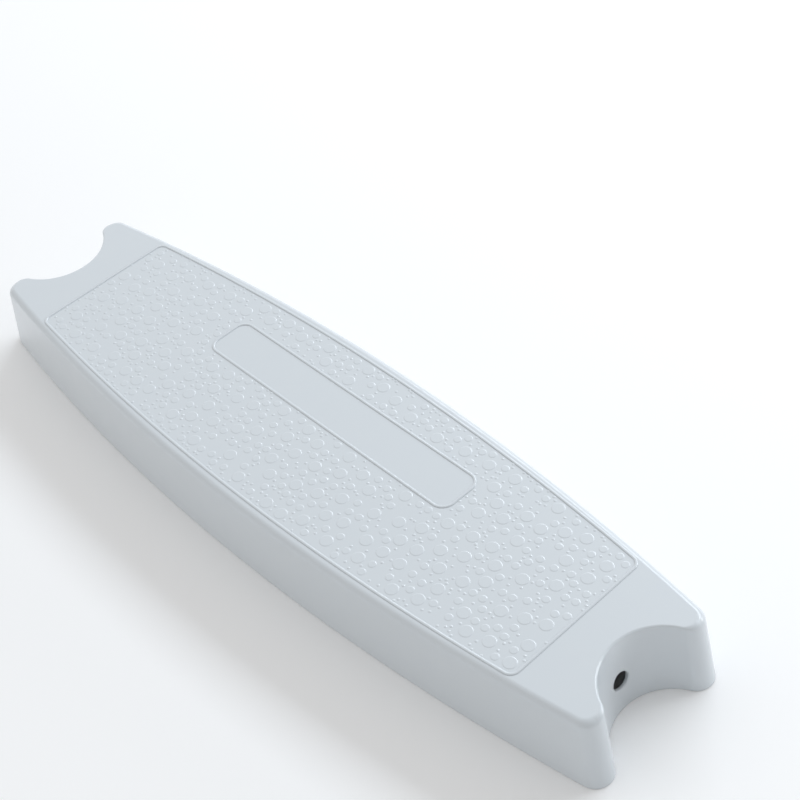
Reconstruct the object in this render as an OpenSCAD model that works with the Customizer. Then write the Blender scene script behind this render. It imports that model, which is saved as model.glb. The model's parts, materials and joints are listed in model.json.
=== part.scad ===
// Ladder step: a ribbed plastic tread that bolts between two upright rails.
// The rails lean outwards going down, and each end of the step cups one rail.

/* [Step] */
// Overall length at the bottom rim
step_len = 382; // [360:1:420]
// Width at mid-length, at the bottom rim
mid_w = 103.5; // [100:0.5:112]
// Width of the side curves at the very ends, at the bottom rim
end_w = 70; // [68:0.5:74]
// Height of the tread surface above the bottom rim
step_h = 34.6; // [32:0.2:40]
// Draft of the long side walls
side_draft = 4; // [2:0.5:5]
// Rounding of the top edge
edge_r = 3; // [1.5:0.25:3.5]

/* [Rails] */
// Radius of the saddle that cups the rail
saddle_r = 24.5; // [23.5:0.1:25.5]
// How far the rail lies from the ends of the step
rail_out = 6.7; // [5.5:0.1:8]
// Lean of the rails, and of the step's ends
rail_lean = 8.7; // [6:0.1:10]
// Radius of the bolt hole in the saddle wall
hole_r = 4.1; // [3.4:0.1:5]
// Height of the bolt axis above the bottom rim
bolt_z = 14.4; // [13:0.1:17]

/* [Tread] */
// Half of the raised frame's length
frame_x = 150.6; // [140:0.2:152]
// Half of the raised frame's width at mid-length
frame_mid_y = 44.5; // [42:0.1:45]
// Half of the raised frame's width at its ends
frame_end_y = 35.2; // [33:0.1:36]
// Corner radius of the raised frame
frame_r = 4; // [2:0.5:8]
// Width of the raised beads
bead_w = 1.2; // [0.8:0.1:1.6]
// Height of the raised beads
bead_h = 0.5; // [0.3:0.05:0.8]
// Half of the smooth pad's length
pad_x = 75.3; // [60:0.1:90]
// Half of the smooth pad's width
pad_y = 10.7; // [8:0.1:14]
// How far the pad's centre is off the step's centre line
pad_shift = 15; // [0:0.5:20]
// Corner radius of the pad
pad_r = 5.5; // [3:0.5:8]
// Radius of the large grip discs
large_r = 2.95; // [2.5:0.05:3.2]
// Radius of the medium grip discs
medium_r = 1.85; // [1.5:0.05:2.1]
// Height of the grip discs
disc_h = 0.3; // [0.2:0.05:0.4]

/* [Moulding] */
// Thickness of the outer walls
wall = 2.6; // [2.2:0.1:3]
// Thickness of the tread
roof = 3.2; // [2.6:0.1:4]
// Thickness of the ribs
rib_t = 2.2; // [1.8:0.1:2.6]
// Distance between the cross ribs
rib_pitch = 35; // [30:1:36]
// Height of the ribs' lower edges above the rim
rib_z = 2; // [1:0.5:4]
// Distance of the two long ribs from the centre line
long_rib_y = 14.5; // [13:0.5:16]
// Distance of the short ribs beside the saddles from mid-length
end_rib_x = 164; // [160:0.5:166]

/* [Hardware] */
// Nut size across flats
nut_af = 13; // [12:0.5:14]
// Nut thickness
nut_h = 6.5; // [5:0.1:7]
// Radius of the nut's threaded bore
nut_bore_r = 3.4; // [3:0.1:3.6]
// Thickness of the load plate
plate_t = 2; // [1.5:0.1:3]
// Thickness of the nut carrier along the bolt
carrier_t = 8; // [7:0.5:9]

/* [Hidden] */
$fn = 64;

half_len = step_len / 2;
lean_x = tan(rail_lean);                 // inward shift of the ends per mm of height
draft_y = tan(side_draft);               // inward shift of the sides per mm of height
side_sag = (mid_w - end_w) / 2;
side_r = (pow(half_len, 2) + pow(side_sag, 2)) / (2 * side_sag);
side_c = side_r - mid_w / 2;             // side curve's centre, beyond the other side
rail_x = half_len + rail_out;            // rail axis at the bottom rim
overfill = 0.15;                         // skin that the true saddle cylinder removes

side_n = 14;                             // segments in half of a side curve
horn_n = 12;                             // segments round one horn
saddle_n = 10;                           // segments in half of a saddle
fillet_n = 4;                            // steps round the top edge
saddle_edge = 0.2;                       // share of the edge rounding left along the saddle
corner_n = 6;                            // segments round a corner of the raised frame
bead_root = 0.6;                         // how deep raised details start inside the tread

saddle_x = rail_x - lean_x * bolt_z - saddle_r;   // saddle wall at the bolt axis
anchor_t = 4;                                     // anchor wall behind the saddle wall
anchor_x = saddle_x - wall - 8.4 - anchor_t;      // inner face of the anchor wall
carrier_x = anchor_x - plate_t - carrier_t;       // inner face of the nut carrier
nut_x = anchor_x - plate_t - nut_h / 2;           // middle of the nut
pocket_r = (nut_af / 2 + 0.15) / cos(30);         // hexagonal pocket in the carrier
seat_y = long_rib_y - rib_t / 2 - 0.2;            // half width of plate and carrier
seat_z = 3.4;                                     // lower edge of plate and carrier
seat_top = 2 * bolt_z - seat_z;                   // upper edge of plate and carrier

frame_sag = frame_mid_y - frame_end_y;
frame_side_r = (pow(frame_x, 2) + pow(frame_sag, 2)) / (2 * frame_sag);
frame_c = frame_side_r - frame_mid_y;             // centre of the frame's side curve
frame_hx = frame_x - frame_r;                     // centre of the frame's corner
frame_hy = sqrt(pow(frame_side_r - frame_r, 2) - pow(frame_hx, 2)) - frame_c;

large_count = 133;
medium_count = 281;
large_gap = 2.6;                                  // least space between large discs
medium_gap = 0.8;                                 // least space round a medium disc
grip_edge = 1.2;                                  // smooth margin beside the beads
scatter_limit = 9000;                             // most places that are tried

// Radius of the horn circle that touches the side curve, the end and the saddle
// at height z, with the whole outline moved inwards by t
function horn_r(z, t) =
    let(xe = half_len - lean_x * z - t,
        a = saddle_r + t,
        b = rail_x - lean_x * z - xe,
        rs = side_r - draft_y * z - t,
        k0 = rs * rs - xe * xe - side_c * side_c - (a * a - b * b),
        k1 = 2 * (xe - rs - a + b),
        qa = k1 * k1,
        qb = 2 * k0 * k1 - 8 * side_c * side_c * (a - b),
        qc = k0 * k0 - 4 * side_c * side_c * (a * a - b * b))
    (-qb - sqrt(qb * qb - 4 * qa * qc)) / (2 * qa);

// One quarter of the outline: side curve, horn, then saddle down to the centre line.
// Each point carries its share of the edge rounding as a third value.
function quarter(z, t, skin) =
    let(xe = half_len - lean_x * z - t,
        a = saddle_r + t,
        xs = rail_x - lean_x * z,
        rs = side_r - draft_y * z - t,
        r = horn_r(z, t),
        hx = xe - r,
        hy = sqrt(pow(a + r, 2) - pow(xs - hx, 2)),
        side_a = atan2(hx, hy + side_c),
        horn_a = 90 - side_a,
        horn_b = -atan2(hy, xs - hx))
    concat(
        [for (i = [0:side_n - 1]) let(p = side_a * i / side_n)
            [rs * sin(p), rs * cos(p) - side_c, 1]],
        [for (i = [0:horn_n]) let(p = horn_a + (horn_b - horn_a) * i / horn_n)
            [hx + r * cos(p), hy + r * sin(p),
             i < horn_n / 2 ? 1 : 1 - (1 - saddle_edge) * (2 * i / horn_n - 1)]],
        [for (i = [1:saddle_n]) let(p = 180 + horn_b * (1 - i / saddle_n))
            [xs + (a - skin) * cos(p), (a - skin) * sin(p), saddle_edge]]);

// The whole outline, anticlockwise as seen from below
function outline(z, t, skin) =
    let(q = quarter(z, t, skin), n = len(q))
    concat(q,
        [for (i = [n - 2:-1:0]) [q[i][0], -q[i][1], q[i][2]]],
        [for (i = [1:n - 1]) [-q[i][0], -q[i][1], q[i][2]]],
        [for (i = [n - 2:-1:1]) [-q[i][0], q[i][1], q[i][2]]]);

// A closed solid through a stack of rings with the same number of points
module ring_stack(rings) {
    n = len(rings[0]);
    m = len(rings);
    points = [for (ring = rings) for (p = ring) p];
    faces = concat(
        [[for (i = [n - 1:-1:0]) i]],
        [for (k = [0:m - 2]) for (i = [0:n - 1]) let(j = (i + 1) % n)
            each [[k * n + i, k * n + j, (k + 1) * n + j],
                  [k * n + i, (k + 1) * n + j, (k + 1) * n + i]]],
        [[for (i = [0:n - 1]) (m - 1) * n + i]]);
    mirror([0, 1, 0]) polyhedron(points = points, faces = faces, convexity = 6);
}

// Solid step with drafted walls and a rounded top edge
module outer_body() {
    rim = [for (p = outline(0, 0, overfill)) [p[0], p[1], 0]];
    edge = [for (k = [0:fillet_n])
        let(a = 90 * k / fillet_n, drop = edge_r * (1 - sin(a)),
            o = outline(step_h - drop, 0, overfill),
            e = outline(step_h - drop, edge_r * (1 - cos(a)), overfill))
        [for (i = [0:len(o) - 1]) let(w = o[i][2])
            [o[i][0] + w * (e[i][0] - o[i][0]), o[i][1] + w * (e[i][1] - o[i][1]),
             step_h - w * drop]]];
    ring_stack(concat([rim], edge));
}

// Space inside the walls, open below
module cavity() {
    ring_stack([for (z = [-1, step_h - roof]) [for (p = outline(z, wall, 0)) [p[0], p[1], z]]]);
}

// Space taken by both rails
module rails() {
    for (side = [-1, 1])
        translate([side * rail_x, 0, 0]) rotate([0, -side * rail_lean, 0])
            translate([0, 0, -step_h / 2]) cylinder(r = saddle_r, h = 2 * step_h);
}

// Ribs and anchor walls inside the cavity
module ribs() {
    top = step_h - roof / 2;
    for (side = [-1, 1])
        translate([-half_len, side * long_rib_y - rib_t / 2, rib_z])
            cube([step_len, rib_t, top - rib_z]);
    for (i = [-4:4])
        translate([i * rib_pitch - rib_t / 2, -mid_w / 2, rib_z]) cube([rib_t, mid_w, top - rib_z]);
    for (side = [-1, 1]) {
        box_at(side, anchor_x, anchor_t, long_rib_y, rib_z, top);
        box_at(side, carrier_x - rib_t, rib_t, long_rib_y, rib_z, top);
        box_at(side, carrier_x - rib_t / 2, anchor_x + anchor_t / 2 - carrier_x, long_rib_y,
               seat_top, top);
        for (y = [-mid_w / 2, long_rib_y])
            translate([side * end_rib_x - rib_t / 2, y, rib_z])
                cube([rib_t, mid_w / 2 - long_rib_y, top - rib_z]);
    }
}

// Box from x to x + depth towards one end, centred across the step
module box_at(side, x, depth, half_y, z0, z1) {
    translate([side > 0 ? x : -x - depth, -half_y, z0]) cube([depth, 2 * half_y, z1 - z0]);
}

// Cylinder along the bolt axis of one end, from x to x + depth
module bolt_way(side, x, depth, r) {
    translate([side > 0 ? x : -x - depth, 0, bolt_z]) rotate([0, 90, 0]) cylinder(r = r, h = depth);
}

// One quarter of the raised frame, moved outwards by g
function frame_quarter(g) =
    let(a = atan2(frame_hx, frame_hy + frame_c))
    concat(
        [for (i = [0:side_n - 1]) let(p = a * i / side_n)
            [(frame_side_r + g) * sin(p), (frame_side_r + g) * cos(p) - frame_c]],
        [for (i = [0:corner_n]) let(p = (90 - a) * (1 - i / corner_n))
            [frame_hx + (frame_r + g) * cos(p), frame_hy + (frame_r + g) * sin(p)]]);

function frame_outline(g) =
    let(q = frame_quarter(g), n = len(q))
    concat(q,
        [for (i = [n - 1:-1:0]) [q[i][0], -q[i][1]]],
        [for (i = [1:n - 1]) [-q[i][0], -q[i][1]]],
        [for (i = [n - 1:-1:1]) [-q[i][0], q[i][1]]]);

module pad_outline(g) {
    x = pad_x + g;
    y = pad_y + g;
    r = pad_r + g;
    translate([0, pad_shift]) {
        square([2 * (x - r), 2 * y], center = true);
        square([2 * x, 2 * (y - r)], center = true);
        for (sx = [-1, 1], sy = [-1, 1]) translate([sx * (x - r), sy * (y - r)]) circle(r = r);
    }
}

module beads() {
    translate([0, 0, step_h - bead_root]) linear_extrude(bead_h + bead_root) {
        difference() {
            polygon(frame_outline(bead_w / 2));
            polygon(frame_outline(-bead_w / 2));
        }
        difference() {
            pad_outline(bead_w / 2);
            pad_outline(-bead_w / 2);
        }
    }
}

// Repeatable scatter value between 0 and 1
function noise(n) = let(s = sin(n * 127.1) * 43758.5453) s - floor(s);

function in_grip(x, y, m) =
    abs(x) < frame_x - m && norm([x, abs(y) + frame_c]) < frame_side_r - m
    && (abs(x) > pad_x + m || abs(y - pad_shift) > pad_y + m);

function is_clear(x, y, r, gap, found) =
    in_grip(x, y, r + grip_edge)
    && min([for (f = found) norm([f[0] - x, f[1] - y]) - f[2] - r]) > gap;

// Adds discs of radius r at scattered places until there are count of them
function scatter(found, k, count, r, gap) =
    len(found) >= count || k > scatter_limit ? found :
    let(x = (2 * noise(k) - 1) * frame_x, y = (2 * noise(k + 0.5) - 1) * frame_mid_y)
    scatter(is_clear(x, y, r, gap, found) ? concat(found, [[x, y, r]]) : found,
            k + 1, count, r, gap);

function grip_discs() =
    let(first = [[0, -frame_mid_y / 2, large_r]])
    scatter(scatter(first, 1, large_count, large_r, large_gap),
            1, large_count + medium_count, medium_r, medium_gap);

module discs() {
    for (d = grip_discs())
        translate([d[0], d[1], step_h - bead_root]) cylinder(r = d[2], h = disc_h + bead_root, $fn = 32);
}

module tread_shell() {
    color([0.84, 0.87, 0.90]) {
        difference() {
            union() {
                difference() {
                    outer_body();
                    difference() {
                        cavity();
                        ribs();
                    }
                }
                beads();
                discs();
            }
            rails();
            for (side = [-1, 1])
                bolt_way(side, anchor_x - 1, saddle_x - anchor_x + 5, hole_r);
        }
    }
}

module load_plate(side) {
    color([0.72, 0.73, 0.75])
        difference() {
            box_at(side, anchor_x - plate_t, plate_t, seat_y, seat_z, seat_top);
            bolt_way(side, anchor_x - plate_t - 1, plate_t + 2, hole_r);
        }
}

module nut_carrier(side) {
    color([0.25, 0.27, 0.29])
        difference() {
            box_at(side, carrier_x, carrier_t, seat_y, seat_z, seat_top);
            translate([side * (carrier_x + carrier_t / 2), 0, bolt_z]) rotate([0, 90, 0])
                cylinder(r = pocket_r, h = carrier_t + 2, center = true, $fn = 6);
        }
}

module captive_nuts() {
    color([0.78, 0.79, 0.80])
        for (side = [-1, 1])
            difference() {
                translate([side * nut_x, 0, bolt_z]) rotate([0, 90, 0])
                    cylinder(r = nut_af / 2 / cos(30), h = nut_h, center = true, $fn = 6);
                bolt_way(side, nut_x - nut_h, 2 * nut_h, nut_bore_r);
            }
}

tread_shell();
load_plate(-1);  // load_plate_left
load_plate(1);  // load_plate_right
nut_carrier(-1);  // nut_carrier_left
nut_carrier(1);  // nut_carrier_right
captive_nuts();
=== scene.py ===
import json
import math

import bpy
from mathutils import Matrix, Vector


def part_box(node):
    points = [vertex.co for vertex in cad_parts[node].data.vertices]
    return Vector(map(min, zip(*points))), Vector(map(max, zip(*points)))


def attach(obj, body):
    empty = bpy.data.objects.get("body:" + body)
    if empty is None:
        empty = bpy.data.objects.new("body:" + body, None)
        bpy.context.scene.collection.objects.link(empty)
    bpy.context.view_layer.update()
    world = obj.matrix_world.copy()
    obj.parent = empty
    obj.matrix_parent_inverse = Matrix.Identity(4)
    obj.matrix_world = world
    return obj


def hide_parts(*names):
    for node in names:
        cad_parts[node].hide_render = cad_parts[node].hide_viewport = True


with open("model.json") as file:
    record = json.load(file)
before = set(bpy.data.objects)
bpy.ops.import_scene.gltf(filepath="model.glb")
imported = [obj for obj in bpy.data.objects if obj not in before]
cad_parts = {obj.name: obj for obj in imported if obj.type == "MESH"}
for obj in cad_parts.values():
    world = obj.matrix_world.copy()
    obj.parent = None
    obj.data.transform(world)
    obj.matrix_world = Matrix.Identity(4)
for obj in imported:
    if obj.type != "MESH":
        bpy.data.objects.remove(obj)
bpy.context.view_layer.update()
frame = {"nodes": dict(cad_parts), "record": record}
mounts = {mount["name"]: mount for mount in frame["record"]["mounts"]}
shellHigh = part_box("tread_shell")[1]
mm = 0.001


def clearSelection():
    if bpy.context.object and bpy.context.object.mode != "OBJECT":
        bpy.ops.object.mode_set(mode="OBJECT")
    bpy.ops.object.select_all(action="DESELECT")


def pick(piece):
    clearSelection()
    piece.select_set(True)
    bpy.context.view_layer.objects.active = piece


def applyModifier(piece, kind, **settings):  # adds a modifier and applies it straight away
    pick(piece)
    modifier = piece.modifiers.new(kind.title(), kind)
    for key, value in settings.items():
        setattr(modifier, key, value)
    bpy.ops.object.modifier_apply(modifier=modifier.name)


def selectNothing(mesh):  # clears the selection inside a mesh
    for part in (mesh.polygons, mesh.edges, mesh.vertices):
        part.foreach_set("select", [False] * len(part))


def bakePlace(piece):  # moves the object's place and turn into its mesh
    pick(piece)
    bpy.ops.object.transform_apply(location=True, rotation=True, scale=True)


def joinPieces(pieces, name):
    clearSelection()
    for piece in pieces:
        piece.select_set(True)
    bpy.context.view_layer.objects.active = pieces[0]
    bpy.ops.object.join()
    pieces[0].name = name
    return pieces[0]


def faceOutwards(piece):  # turns the faces of a closed shape outwards
    pick(piece)
    bpy.ops.object.mode_set(mode="EDIT")
    bpy.ops.mesh.select_all(action="SELECT")
    bpy.ops.mesh.normals_make_consistent(inside=False)
    bpy.ops.object.mode_set(mode="OBJECT")


def smooth(piece, degrees=35):
    pick(piece)
    bpy.ops.object.shade_smooth_by_angle(angle=math.radians(degrees))


step = {
    "halfLength": shellHigh.x,         # bottom rim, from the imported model
    "halfWidth": shellHigh.y,
    "treadZ": shellHigh.z - 0.5 * mm,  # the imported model's raised lines stand 0.5 mm high
    "endWidth": 70 * mm,               # side curves, measured at the very ends
    "sideDraft": math.tan(math.radians(4)),
    "edgeRadius": 3 * mm,
    "edgeSteps": 7,
    "saddleEdge": 0.2,                 # share of the edge rounding left along a saddle
    "wall": 2.6 * mm,
    "roof": 3.2 * mm,
    "sideCuts": 44,
    "hornCuts": 26,
    "saddleCuts": 26,
}
saddle = mounts["saddle_right"]
saddleRadius = saddle["dims"]["r_mm"] * mm
saddleAxis = Vector(saddle["axis"])
lean = -saddleAxis.x / saddleAxis.z                      # inward shift per unit of height
railX = saddle["pos_m"][0] + lean * saddle["pos_m"][2]   # rail axis at the rim
bolt = Vector(mounts["bolt_right"]["pos_m"])
sideSag = step["halfWidth"] - step["endWidth"] / 2
sideRadius = (step["halfLength"] ** 2 + sideSag ** 2) / (2 * sideSag)
sideCentre = sideRadius - step["halfWidth"]


def hornCircle(z, inset):  # circle that touches the side, the end and the saddle
    end = step["halfLength"] - lean * z - inset
    cup = saddleRadius + inset
    reach = railX - lean * z - end
    side = sideRadius - step["sideDraft"] * z - inset
    k0 = side ** 2 - end ** 2 - sideCentre ** 2 - (cup ** 2 - reach ** 2)
    k1 = 2 * (end - side - cup + reach)
    a = k1 ** 2
    b = 2 * k0 * k1 - 8 * sideCentre ** 2 * (cup - reach)
    c = k0 ** 2 - 4 * sideCentre ** 2 * (cup ** 2 - reach ** 2)
    radius = (-b - math.sqrt(b ** 2 - 4 * a * c)) / (2 * a)
    x = end - radius
    y = math.sqrt((cup + radius) ** 2 - (reach + radius) ** 2)
    return x, y, radius, cup, railX - lean * z, side


# Closed outline at a height, drawn in by the inset, as x, y and the share of the edge rounding there.
def stepOutline(z, inset):
    x, y, radius, cup, rail, side = hornCircle(z, inset)
    sideTurn = math.atan2(x, y + sideCentre)
    hornStart = math.pi / 2 - sideTurn
    hornEnd = -math.atan2(y, rail - x)
    quarter = []
    for i in range(step["sideCuts"]):
        turn = sideTurn * i / step["sideCuts"]
        quarter.append((side * math.sin(turn), side * math.cos(turn) - sideCentre, 1))
    for i in range(step["hornCuts"] + 1):
        part = i / step["hornCuts"]
        turn = hornStart + (hornEnd - hornStart) * part
        share = 1 - (1 - step["saddleEdge"]) * max(0, 2 * part - 1)
        quarter.append((x + radius * math.cos(turn), y + radius * math.sin(turn), share))
    for i in range(1, step["saddleCuts"] + 1):
        turn = math.pi + hornEnd * (1 - i / step["saddleCuts"])
        quarter.append((rail + cup * math.cos(turn), cup * math.sin(turn), step["saddleEdge"]))
    right = quarter + [(x, -y, w) for x, y, w in reversed(quarter[:-1])]
    left = [(-x, y, w) for x, y, w in reversed(right[1:-1])]
    return right + left


def extrudeLoop(piece, loop, points):  # pulls a closed edge loop out to new places
    mesh = piece.data
    selectNothing(mesh)
    inLoop = set(loop)
    for edge in mesh.edges:
        if edge.vertices[0] in inLoop and edge.vertices[1] in inLoop:
            edge.select = True
    for index in loop:
        mesh.vertices[index].select = True
    oldCount = len(mesh.vertices)
    order = {tuple(round(c, 7) for c in mesh.vertices[index].co): i for i, index in enumerate(loop)}
    pick(piece)
    bpy.ops.object.mode_set(mode="EDIT")
    bpy.ops.mesh.select_mode(type="EDGE")
    bpy.ops.mesh.extrude_edges_move()
    bpy.ops.object.mode_set(mode="OBJECT")
    newLoop = [None] * len(loop)
    for vertex in mesh.vertices[oldCount:]:
        i = order[tuple(round(c, 7) for c in vertex.co)]
        newLoop[i] = vertex.index
    for i, index in enumerate(newLoop):
        mesh.vertices[index].co = points[i]
    return newLoop


def fillLoop(piece, loop):  # closes a loop with one face
    selectNothing(piece.data)
    for index in loop:
        piece.data.vertices[index].select = True
    pick(piece)
    bpy.ops.object.mode_set(mode="EDIT")
    bpy.ops.mesh.select_mode(type="VERT")
    bpy.ops.mesh.edge_face_add()
    bpy.ops.object.mode_set(mode="OBJECT")


def levelRing(z, inset):
    return [(x, y, z) for x, y, w in stepOutline(z, inset)]


def edgeRing(part):  # part 0 is the top of the wall, 1 the edge of the flat tread
    turn = math.pi / 2 * part
    drop = step["edgeRadius"] * (1 - math.sin(turn))
    outer = stepOutline(step["treadZ"] - drop, 0)
    inner = stepOutline(step["treadZ"] - drop, step["edgeRadius"] * (1 - math.cos(turn)))
    ring = []
    for (x0, y0, w), (x1, y1, _) in zip(outer, inner):
        ring.append((x0 + w * (x1 - x0), y0 + w * (y1 - y0), step["treadZ"] - w * drop))
    return ring


def makeShell():
    rim = levelRing(0, 0)
    clearSelection()
    bpy.ops.mesh.primitive_circle_add(vertices=len(rim), radius=step["halfLength"])
    shell = bpy.context.object
    shell.name = "treadShell"
    for vertex, place in zip(shell.data.vertices, rim):
        vertex.co = place
    rimLoop = list(range(len(rim)))

    loop = rimLoop
    for i in range(step["edgeSteps"] + 1):
        loop = extrudeLoop(shell, loop, edgeRing(i / step["edgeSteps"]))
    fillLoop(shell, loop)

    loop = extrudeLoop(shell, rimLoop, levelRing(0, step["wall"]))
    loop = extrudeLoop(shell, loop, levelRing(step["treadZ"] - step["roof"], step["wall"]))
    fillLoop(shell, loop)
    faceOutwards(shell)
    return shell


shell = makeShell()
print("outer shell made")


anchor = {
    "thickness": 4 * mm,
    "gap": 8.4 * mm,       # between the saddle wall and the anchor wall
    "plate": 2 * mm,
    "carrier": 8 * mm,
    "seatLow": 3.4 * mm,   # how far the plate and carrier stay above the rim
}
saddleX = railX - lean * bolt.z - saddleRadius      # saddle wall at the bolt axis
anchorX = saddleX - step["wall"] - anchor["gap"] - anchor["thickness"]
carrierX = anchorX - anchor["plate"] - anchor["carrier"]
seatTop = 2 * bolt.z - anchor["seatLow"]

ribs = {
    "thickness": 2.2 * mm,
    "pitch": 35 * mm,
    "pairs": 4,            # cross ribs on each side of the middle one
    "low": 2 * mm,         # their lower edge, above the rim
    "longY": 14.5 * mm,
    "endX": 164 * mm,      # short ribs beside the saddles
    "bury": 0.8 * mm,      # how deep a rib runs into a wall
}


def innerHalfWidth(x, z):  # inside face of the long wall
    side = sideRadius - step["sideDraft"] * z - step["wall"]
    return math.sqrt(side ** 2 - x ** 2) - sideCentre


def innerEnd(y, z):  # inside face of the saddle wall
    return railX - lean * z - math.sqrt((saddleRadius + step["wall"]) ** 2 - y ** 2)


def ribBlock(corners):  # x0, x1, y0, y1, z of the lower and of the upper face
    clearSelection()
    bpy.ops.mesh.primitive_cube_add(size=1)
    block = bpy.context.object
    for vertex in block.data.vertices:
        x0, x1, y0, y1, z = corners[1 if vertex.co.z > 0 else 0]
        vertex.co = (x1 if vertex.co.x > 0 else x0, y1 if vertex.co.y > 0 else y0, z)
    return block


def straightBlock(x0, x1, y0, y1, z0, z1):
    return ribBlock([(x0, x1, y0, y1, z0), (x0, x1, y0, y1, z1)])


def ribParts():
    low, top = ribs["low"], step["treadZ"] - step["roof"] + ribs["bury"]
    half, bury, longY = ribs["thickness"] / 2, ribs["bury"], ribs["longY"]
    for i in range(-ribs["pairs"], ribs["pairs"] + 1):
        x = i * ribs["pitch"]
        widths = [innerHalfWidth(abs(x) + half, z) + bury for z in (low, top)]
        yield ribBlock([(x - half, x + half, -y, y, z) for y, z in zip(widths, (low, top))])
    for y in (-longY, longY):
        ends = [innerEnd(longY - half, z) + bury for z in (low, top)]
        yield ribBlock([(-x, x, y - half, y + half, z) for x, z in zip(ends, (low, top))])
    for side in (-1, 1):
        for x, depth, z in ((anchorX, anchor["thickness"], low),
                            (carrierX - ribs["thickness"], ribs["thickness"], low),
                            (carrierX - half, anchorX + half - carrierX, seatTop)):
            x0, x1 = sorted((side * x, side * (x + depth)))
            yield straightBlock(x0, x1, -longY, longY, z, top)
        x = side * ribs["endX"]
        for y in (-1, 1):
            widths = [innerHalfWidth(ribs["endX"] + half, z) + bury for z in (low, top)]
            yield ribBlock([(x - half, x + half, *sorted((y * longY, y * w)), z)
                            for w, z in zip(widths, (low, top))])


def addRibs(piece):
    for block in ribParts():
        applyModifier(piece, "BOOLEAN", object=block, operation="UNION", solver="EXACT")
        bpy.data.objects.remove(block)


def ringStack(name, rings):  # a closed solid through rings that have the same number of points
    clearSelection()
    bpy.ops.mesh.primitive_circle_add(vertices=len(rings[0]), radius=1)
    solid = bpy.context.object
    solid.name = name
    for vertex, place in zip(solid.data.vertices, rings[0]):
        vertex.co = place
    loop = first = list(range(len(rings[0])))
    for ring in rings[1:]:
        loop = extrudeLoop(solid, loop, ring)
    fillLoop(solid, first)
    fillLoop(solid, loop)
    faceOutwards(solid)
    return solid


def boltRing(side, radius, placeX, count=64):  # a ring round the bolt axis
    ring = []
    for i in range(count):
        turn = 2 * math.pi * i / count
        y, z = radius * math.cos(turn), bolt.z + radius * math.sin(turn)
        ring.append((side * placeX(y, z), y, z))
    return ring


def saddleFace(y, z):  # outside face of the saddle wall
    return railX - lean * z - math.sqrt(saddleRadius ** 2 - y ** 2)


def cutAway(piece, tool, operation="DIFFERENCE"):
    applyModifier(piece, "BOOLEAN", object=tool, operation=operation, solver="EXACT")
    bpy.data.objects.remove(tool)


boltHole = {
    "radius": 4.1 * mm,
    "relief": 6.5 * mm,      # radius of the thinned wall behind the hole
    "reliefDepth": 6 * mm,
    "lip": 1.1 * mm,         # wall left round the hole
    "rim": 0.35 * mm,        # rounding of the mouth
    "rimSteps": 5,
    "rimTurn": 68,           # degrees, stops short of a knife edge
    "clear": 2 * mm,         # how far the drill stands out past the wall
}


def drillBolts(piece):
    radius, rim, lip, steps = (boltHole[k] for k in ("radius", "rim", "lip", "rimSteps"))
    for side in (-1, 1):
        cutAway(piece, ringStack("relief", [  # the wall is thinned behind the hole
            boltRing(side, boltHole["relief"], lambda y, z: saddleX - boltHole["reliefDepth"]),
            boltRing(side, boltHole["relief"], lambda y, z: saddleX - lean * (z - bolt.z) - lip)]))
        rings = [boltRing(side, radius, lambda y, z: anchorX - mm)]
        for i in range(steps + 1):  # the mouth flares out with a small radius
            turn = math.radians(boltHole["rimTurn"]) * i / steps
            back = rim * (1 - math.sin(turn))
            rings.append(boltRing(side, radius + rim * (1 - math.cos(turn)),
                                  lambda y, z: saddleFace(y, z) - back))
        rings.append(boltRing(side, radius + 4 * rim, lambda y, z: saddleX + boltHole["clear"]))
        cutAway(piece, ringStack("drill", rings))


addRibs(shell)
print("ribs added")
drillBolts(shell)
smooth(shell, 20)
applyModifier(shell, "WEIGHTED_NORMAL", keep_sharp=True)
print("tread shell made:", len(shell.data.polygons), "faces")


fixing = {
    "halfWidth": ribs["longY"] - ribs["thickness"] / 2 - 0.2 * mm,  # just clear of the long ribs
    "edge": 0.4 * mm,
    "nutFlats": 13 * mm,
    "nutHeight": 6.5 * mm,
    "nutFace": 6.2 * mm,       # radius of the flat end inside the nut's chamfer
    "nutChamfer": 0.75 * mm,
    "pocketGap": 0.15 * mm,
    "threadInner": 3.4 * mm,
    "threadOuter": 3.95 * mm,
    "pitch": 1.25 * mm,
    "turns": 6,                # enough rings to pass both faces of the nut
}


def seatBlock(side, x, depth, name):  # a block that fits between the long ribs
    x0, x1 = sorted((side * x, side * (x + depth)))
    block = straightBlock(x0, x1, -fixing["halfWidth"], fixing["halfWidth"], anchor["seatLow"], seatTop)
    block.name = name
    applyModifier(block, "BEVEL", width=fixing["edge"], segments=2, limit_method="NONE")
    return block


def hexPrism(side, x, depth, flats):  # corners up and down
    clearSelection()
    bpy.ops.mesh.primitive_cylinder_add(
        vertices=6, radius=flats / 2 / math.cos(math.pi / 6), depth=depth,
        location=(side * x, 0, bolt.z), rotation=(math.pi / 2, 0, math.pi / 2))
    prism = bpy.context.object
    bakePlace(prism)
    return prism


def makePlate(side, name):
    plate = seatBlock(side, anchorX - anchor["plate"], anchor["plate"], name)
    cutAway(plate, ringStack("drill", [boltRing(side, boltHole["radius"], lambda y, z: anchorX - 3 * mm),
                                       boltRing(side, boltHole["radius"], lambda y, z: anchorX + mm)]))
    smooth(plate, 40)
    return plate


def makeCarrier(side, name):
    carrier = seatBlock(side, carrierX, anchor["carrier"], name)
    cutAway(carrier, hexPrism(side, carrierX + anchor["carrier"] / 2, anchor["carrier"] + 2 * mm,
                              fixing["nutFlats"] + 2 * fixing["pocketGap"]))
    smooth(carrier, 40)
    return carrier


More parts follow.
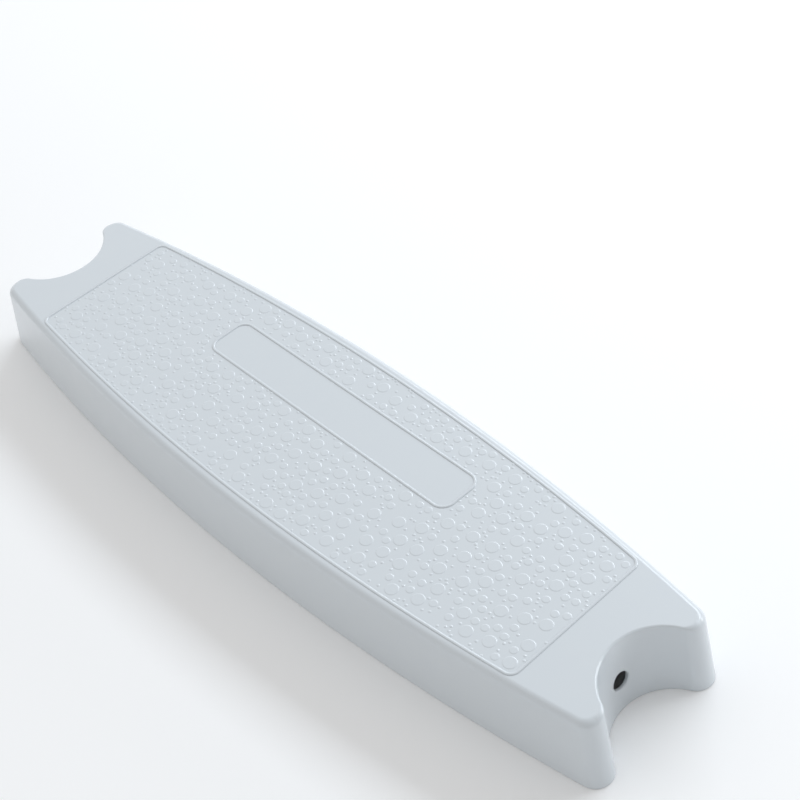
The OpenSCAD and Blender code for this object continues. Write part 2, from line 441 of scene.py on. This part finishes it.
def makeNut(side):
    half = fixing["nutHeight"] / 2
    x = anchorX - anchor["plate"] - half
    nut = hexPrism(side, x, fixing["nutHeight"], fixing["nutFlats"])
    corner = fixing["nutFlats"] / 2 / math.cos(math.pi / 6) + 0.1 * mm
    shape = [(-half, fixing["nutFace"]), (-half + fixing["nutChamfer"], corner),
             (half - fixing["nutChamfer"], corner), (half, fixing["nutFace"])]
    cutAway(nut, ringStack("chamfer", [boltRing(side, radius, lambda y, z: x + along)
                                       for along, radius in shape]), "INTERSECT")
    rings, pitch = [], fixing["pitch"]
    for i in range(-fixing["turns"], fixing["turns"] + 1):  # the thread is drawn as rings, one to a pitch
        radius = fixing["threadOuter"] if i % 2 else fixing["threadInner"]
        rings.append(boltRing(side, radius, lambda y, z: x + i * pitch / 2, 32))
    cutAway(nut, ringStack("tap", rings))
    smooth(nut, 30)
    return nut


hardware = {}
for side, end in ((-1, "left"), (1, "right")):
    hardware["load_plate_" + end] = makePlate(side, "loadPlate." + end)
    hardware["nut_carrier_" + end] = makeCarrier(side, "nutCarrier." + end)
hardware["captive_nuts"] = joinPieces([makeNut(-1), makeNut(1)], "captiveNuts")
print("hardware made")


beads = {
    "frameX": 150.6 * mm,
    "frameMidY": 44.5 * mm,
    "frameEndY": 35.2 * mm,
    "frameCorner": 4 * mm,
    "padX": 75.3 * mm,
    "padY": 10.7 * mm,
    "padShift": 15 * mm,
    "padCorner": 5.5 * mm,
    "sideCuts": 40,
    "cornerCuts": 10,
    "padCornerCuts": 12,
    "radius": 0.75 * mm,
    "rise": 0.42 * mm,      # how far a bead stands above the tread
}
frameSag = beads["frameMidY"] - beads["frameEndY"]
frameRadius = (beads["frameX"] ** 2 + frameSag ** 2) / (2 * frameSag)
frameCentre = frameRadius - beads["frameMidY"]


def mirrorQuarter(quarter):  # a quarter outline mirrored to the whole one
    right = quarter + [(x, -y) for x, y in reversed(quarter[:-1] if quarter[-1][1] == 0 else quarter)]
    return right + [(-x, y) for x, y in reversed(right[1:-1])]


def frameOutline():
    corner = beads["frameCorner"]
    x = beads["frameX"] - corner
    y = math.sqrt((frameRadius - corner) ** 2 - x ** 2) - frameCentre
    sideTurn = math.atan2(x, y + frameCentre)
    quarter = []
    for i in range(beads["sideCuts"]):
        turn = sideTurn * i / beads["sideCuts"]
        quarter.append((frameRadius * math.sin(turn), frameRadius * math.cos(turn) - frameCentre))
    for i in range(beads["cornerCuts"] + 1):
        turn = (math.pi / 2 - sideTurn) * (1 - i / beads["cornerCuts"])
        quarter.append((x + corner * math.cos(turn), y + corner * math.sin(turn)))
    return mirrorQuarter(quarter)


def padOutline():
    corner = beads["padCorner"]
    x = beads["padX"] - corner
    y = beads["padY"] - corner
    quarter = [(0, beads["padY"])]
    for i in range(beads["padCornerCuts"] + 1):
        turn = math.pi / 2 * (1 - i / beads["padCornerCuts"])
        quarter.append((x + corner * math.cos(turn), y + corner * math.sin(turn)))
    return [(px, py + beads["padShift"]) for px, py in mirrorQuarter(quarter)]


def makeBead(name, outline):  # a flattened round cord laid half into the tread
    clearSelection()
    bpy.ops.mesh.primitive_circle_add(vertices=len(outline), radius=beads["padX"])
    bead = bpy.context.object
    bead.name = name
    for vertex, (x, y) in zip(bead.data.vertices, outline):
        vertex.co = (x, y, 0)
    bpy.ops.object.convert(target="CURVE")
    bead.data.bevel_depth = beads["radius"]
    bead.data.bevel_resolution = 4
    bpy.ops.object.convert(target="MESH")
    for vertex in bead.data.vertices:
        vertex.co.z = vertex.co.z * beads["rise"] / beads["radius"] + step["treadZ"]
    faceOutwards(bead)
    smooth(bead, 60)
    return bead


frameBead = makeBead("frameBead", frameOutline())
padBead = makeBead("padBead", padOutline())
print("beads made")


# A disc's side leans in by its slope over its rise, and its top edge is rounded by round.
grip = {
    "large": {"radius": 2.95 * mm, "count": 133, "gap": 2.6 * mm, "edgeGap": 1.2 * mm, "tries": 9000,
              "rise": 0.14 * mm, "slope": 0.35 * mm, "round": 0.2 * mm, "sides": 28},
    "medium": {"radius": 1.85 * mm, "count": 281, "gap": 0.8 * mm, "edgeGap": 1.2 * mm, "tries": 9000,
               "rise": 0.14 * mm, "slope": 0.35 * mm, "round": 0.25 * mm, "sides": 20},
    "small": {"radius": 0.72 * mm, "count": 720, "gap": 0.3 * mm, "edgeGap": 0.3 * mm, "tries": 90000,
              "rise": 0.17 * mm, "slope": 0.36 * mm, "round": 0.2 * mm, "sides": 12},
}


def scatterNoise(n):  # a fixed number from 0 to 1 for each n
    wave = math.sin(math.radians(n * 127.1)) * 43758.5453
    return wave - math.floor(wave)


def insideGrip(x, y, margin):  # inside the frame bead and off the smooth pad
    inFrame = (abs(x) < beads["frameX"] - margin
               and math.hypot(x, abs(y) + frameCentre) < frameRadius - margin)
    offPad = (abs(x) > beads["padX"] + margin
              or abs(y - beads["padShift"]) > beads["padY"] + margin)
    return inFrame and offPad


# Adds discs of one kind, each the gap or more away from all the others, until the target is met.
def addScattered(found, kind, target):
    radius, gap = kind["radius"], kind["gap"]
    for k in range(1, kind["tries"] + 1):
        if len(found) >= target:
            break
        x = (2 * scatterNoise(k) - 1) * beads["frameX"]
        y = (2 * scatterNoise(k + 0.5) - 1) * beads["frameMidY"]
        if not insideGrip(x, y, radius + kind["edgeGap"]):
            continue
        if all(math.hypot(fx - x, fy - y) - fr - radius > gap for fx, fy, fr in found):
            found.append((x, y, radius))
    return found


def makeDisc(kind):  # the half below the tread is hidden in it
    slope = kind["slope"]
    clearSelection()
    bpy.ops.mesh.primitive_cone_add(
        vertices=kind["sides"], radius1=kind["radius"] + slope, radius2=kind["radius"] - slope,
        depth=2 * kind["rise"])
    disc = bpy.context.object
    selectNothing(disc.data)
    for edge in disc.data.edges:
        ends = [disc.data.vertices[i].co.z for i in edge.vertices]
        edge.select = min(ends) > 0
    bpy.ops.object.mode_set(mode="EDIT")
    bpy.ops.mesh.select_mode(type="EDGE")
    bpy.ops.mesh.bevel(offset=kind["round"], segments=2, profile=0.5)
    bpy.ops.object.mode_set(mode="OBJECT")
    return disc


def makeGrip():
    found = [(0, -beads["frameMidY"] / 2, grip["large"]["radius"])]
    pieces = []
    for name, kind in grip.items():
        start = len(found) if name != "large" else 0
        target = kind["count"] + start
        addScattered(found, kind, target)
        disc = makeDisc(kind)
        copies = []
        for x, y, _ in found[start:]:
            twin = disc.copy()
            twin.data = disc.data.copy()
            twin.data.transform(Matrix.Translation((x, y, step["treadZ"])))
            bpy.context.scene.collection.objects.link(twin)
            copies.append(twin)
        bpy.data.objects.remove(disc)
        piece = joinPieces(copies, name + "Grip")
        smooth(piece, 50)
        if name != "small":  # keeps the tops flat beside their rounded rims
            applyModifier(piece, "WEIGHTED_NORMAL", keep_sharp=True)
        pieces.append(piece)
        print(name, "grip:", len(copies))
    return pieces


gripPieces = makeGrip()


def linearColour(hexCode):
    channels = []
    for i in (0, 2, 4):
        value = int(hexCode[i:i + 2], 16) / 255
        channels.append(value / 12.92 if value <= 0.04045 else ((value + 0.055) / 1.055) ** 2.4)
    return (*channels, 1)


def addNode(tree, kind, links=(), **settings):
    node = tree.nodes.new(kind)
    for key, value in settings.items():
        if key in node.inputs:
            node.inputs[key].default_value = value
        else:
            setattr(node, key, value)
    for source, socket in links:
        tree.links.new(source, node.inputs[socket])
    return node


def startMaterial(name):
    material = bpy.data.materials.new(name)
    material.use_nodes = True
    return material, material.node_tree, material.node_tree.nodes["Principled BSDF"]


plasticLook = {
    "colour": "D1D7DB",
    "flow": "CFD5DA",        # the slightly darker tone of the melt's flow
    "flowSize": 8 * mm,
    "roughness": 0.34,
    "roughnessRange": 0.03,
    "skin": 0.6,             # weight of the gloss skin that the mould leaves
    "skinRoughness": 0.16,
    "grain": 0.35 * mm,      # mould texture, coarser than the real one so that it shows
    "grainDepth": 0.02 * mm,
}


# Injection-moulded ABS: an even pale colour, a satin skin and a faint orange peel.
def mouldedPlastic():
    material, tree, shader = startMaterial("injection-moulded ABS")
    shader.inputs["IOR"].default_value = 1.53
    shader.inputs["Coat Weight"].default_value = plasticLook["skin"]
    shader.inputs["Coat Roughness"].default_value = plasticLook["skinRoughness"]
    place = addNode(tree, "ShaderNodeTexCoord")
    peel = addNode(tree, "ShaderNodeTexNoise", [(place.outputs["Object"], "Vector")],
                   Scale=1 / plasticLook["flowSize"], Detail=3.0, Roughness=0.5)
    tone = addNode(tree, "ShaderNodeMix", [(peel.outputs["Fac"], "Factor")], data_type="RGBA")
    tone.inputs[6].default_value = linearColour(plasticLook["colour"])  # sockets 6 and 7 are the colours
    tone.inputs[7].default_value = linearColour(plasticLook["flow"])
    tree.links.new(tone.outputs[2], shader.inputs["Base Color"])
    gloss = addNode(tree, "ShaderNodeMapRange", [(peel.outputs["Fac"], "Value")])
    gloss.inputs["To Min"].default_value = plasticLook["roughness"] - plasticLook["roughnessRange"]
    gloss.inputs["To Max"].default_value = plasticLook["roughness"] + plasticLook["roughnessRange"]
    tree.links.new(gloss.outputs["Result"], shader.inputs["Roughness"])
    skin = addNode(tree, "ShaderNodeTexNoise", [(place.outputs["Object"], "Vector")],
                   Scale=1 / plasticLook["grain"], Detail=2.0)
    bump = addNode(tree, "ShaderNodeBump", [(skin.outputs["Fac"], "Height")],
                   Strength=0.08, Distance=plasticLook["grainDepth"])
    tree.links.new(bump.outputs["Normal"], shader.inputs["Normal"])
    return material


steelLook = {
    "light": "B4B6B8",
    "dark": "A2A4A7",
    "streak": 4 * mm,         # drawing lines, wider than real ones so that they show
    "streakStretch": 12,
    "smooth": 0.24,
    "rough": 0.4,
}


# Cold-drawn stainless steel: grey metal with fine streaks along the bolt.
def stainlessSteel():
    material, tree, shader = startMaterial("drawn stainless steel")
    shader.inputs["Metallic"].default_value = 1
    place = addNode(tree, "ShaderNodeTexCoord")
    stretch = addNode(tree, "ShaderNodeMapping", [(place.outputs["Object"], "Vector")])
    stretch.inputs["Scale"].default_value = (1, steelLook["streakStretch"], steelLook["streakStretch"])
    streak = addNode(tree, "ShaderNodeTexNoise", [(stretch.outputs["Vector"], "Vector")],
                     Scale=1 / steelLook["streak"], Detail=4.0)
    tone = addNode(tree, "ShaderNodeMix", [(streak.outputs["Fac"], "Factor")], data_type="RGBA")
    tone.inputs[6].default_value = linearColour(steelLook["light"])
    tone.inputs[7].default_value = linearColour(steelLook["dark"])
    tree.links.new(tone.outputs[2], shader.inputs["Base Color"])
    gloss = addNode(tree, "ShaderNodeMapRange", [(streak.outputs["Fac"], "Value")])
    gloss.inputs["To Min"].default_value = steelLook["smooth"]
    gloss.inputs["To Max"].default_value = steelLook["rough"]
    tree.links.new(gloss.outputs["Result"], shader.inputs["Roughness"])
    return material


nylonLook = {
    "colour": "2A2C2E",
    "grain": 0.5 * mm,        # mould grain, drawn coarse enough to show
    "grainDepth": 0.05 * mm,
    "smooth": 0.5,
    "rough": 0.65,
}


# Moulded black nylon: a dull skin with a fine mould grain.
def carrierNylon():
    material, tree, shader = startMaterial("moulded black nylon")
    shader.inputs["IOR"].default_value = 1.53
    shader.inputs["Base Color"].default_value = linearColour(nylonLook["colour"])
    place = addNode(tree, "ShaderNodeTexCoord")
    grain = addNode(tree, "ShaderNodeTexNoise", [(place.outputs["Object"], "Vector")],
                    Scale=1 / nylonLook["grain"], Detail=2.0)
    gloss = addNode(tree, "ShaderNodeMapRange", [(grain.outputs["Fac"], "Value")])
    gloss.inputs["To Min"].default_value = nylonLook["smooth"]
    gloss.inputs["To Max"].default_value = nylonLook["rough"]
    tree.links.new(gloss.outputs["Result"], shader.inputs["Roughness"])
    bump = addNode(tree, "ShaderNodeBump", [(grain.outputs["Fac"], "Height")],
                   Strength=0.2, Distance=nylonLook["grainDepth"])
    tree.links.new(bump.outputs["Normal"], shader.inputs["Normal"])
    return material


def dress(piece, material):
    piece.data.materials.clear()
    piece.data.materials.append(material)


plastic = mouldedPlastic()
steel = stainlessSteel()
nylon = carrierNylon()
shellPieces = [shell, frameBead, padBead] + gripPieces
for piece in shellPieces:
    dress(piece, plastic)
    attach(piece, "root")
    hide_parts("tread_shell")
for name, piece in hardware.items():
    inNylon = name.startswith("nut_carrier")
    dress(piece, nylon if inNylon else steel)
    dress(frame["nodes"][name], nylon if inNylon else steel)
    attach(piece, "root")
    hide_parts(name)
print("materials set")


sweep = {"size": 12, "drop": 0.2 * mm, "colour": "FCFCFC", "roughness": 0.9}


def makeFloor():
    clearSelection()
    bpy.ops.mesh.primitive_plane_add(size=sweep["size"], location=(0, 0, -sweep["drop"]))
    floor = bpy.context.object
    floor.name = "floor"
    material, _, shader = startMaterial("white paper sweep")
    shader.inputs["Base Color"].default_value = linearColour(sweep["colour"])
    shader.inputs["Roughness"].default_value = sweep["roughness"]
    dress(floor, material)


studio = {
    "key": {"place": (-0.1, 1.35, 1.05), "width": 2, "height": 0.45, "power": 17,
            "colour": (0.84, 0.92, 1)},
    "side": {"place": (0.95, 1.4, 0.4), "width": 0.5, "height": 0.35, "power": 4,
             "colour": (0.95, 0.98, 1)},
}
room = {"left": 0.94, "right": 0.43}  # the room's own soft light, weaker past the right end


def makeLights():
    for name, light in studio.items():
        clearSelection()
        bpy.ops.object.light_add(type="AREA", location=light["place"])
        lamp = bpy.context.object
        lamp.name = name + "Light"
        lamp.data.shape = "RECTANGLE"
        lamp.data.size = light["width"]
        lamp.data.size_y = light["height"]
        lamp.data.energy = light["power"]
        lamp.data.color = light["colour"]
        lamp.rotation_euler = (-Vector(light["place"])).to_track_quat("-Z", "Y").to_euler()
    world = bpy.data.worlds.new("studio")
    world.use_nodes = True
    tree = world.node_tree
    place = addNode(tree, "ShaderNodeTexCoord")
    split = addNode(tree, "ShaderNodeSeparateXYZ", [(place.outputs["Generated"], "Vector")])
    glow = addNode(tree, "ShaderNodeMapRange", [(split.outputs["X"], "Value")])
    glow.inputs["From Min"].default_value = -1
    glow.inputs["To Min"].default_value = room["left"]
    glow.inputs["To Max"].default_value = room["right"]
    sky = tree.nodes["Background"]
    sky.inputs["Color"].default_value = (1, 1, 1, 1)
    tree.links.new(glow.outputs["Result"], sky.inputs["Strength"])
    bpy.context.scene.world = world


view = {
    "place": (0.4092, -0.2640, 0.5183),
    "azimuth": 52.58,   # degrees round from the front, towards the right end
    "elevation": 44.37,
    "roll": -8.82,
    "lens": 72.93,      # mm on a 36 mm sensor
}


def makeCamera():
    clearSelection()
    bpy.ops.object.camera_add(location=view["place"])
    camera = bpy.context.object
    azimuth, elevation = math.radians(view["azimuth"]), math.radians(view["elevation"])
    back = Vector((math.sin(azimuth) * math.cos(elevation),
                   -math.cos(azimuth) * math.cos(elevation), math.sin(elevation)))
    turn = (-back).to_track_quat("-Z", "Y").to_matrix().to_4x4()
    camera.matrix_world = (Matrix.Translation(view["place"]) @ turn
                           @ Matrix.Rotation(math.radians(view["roll"]), 4, "Z"))
    camera.data.lens = view["lens"]
    camera.data.sensor_width = 36
    bpy.context.scene.camera = camera


makeFloor()
makeLights()
makeCamera()
bpy.context.scene.view_settings.view_transform = "Standard"  # keeps the plastic's own tones
print("studio set")
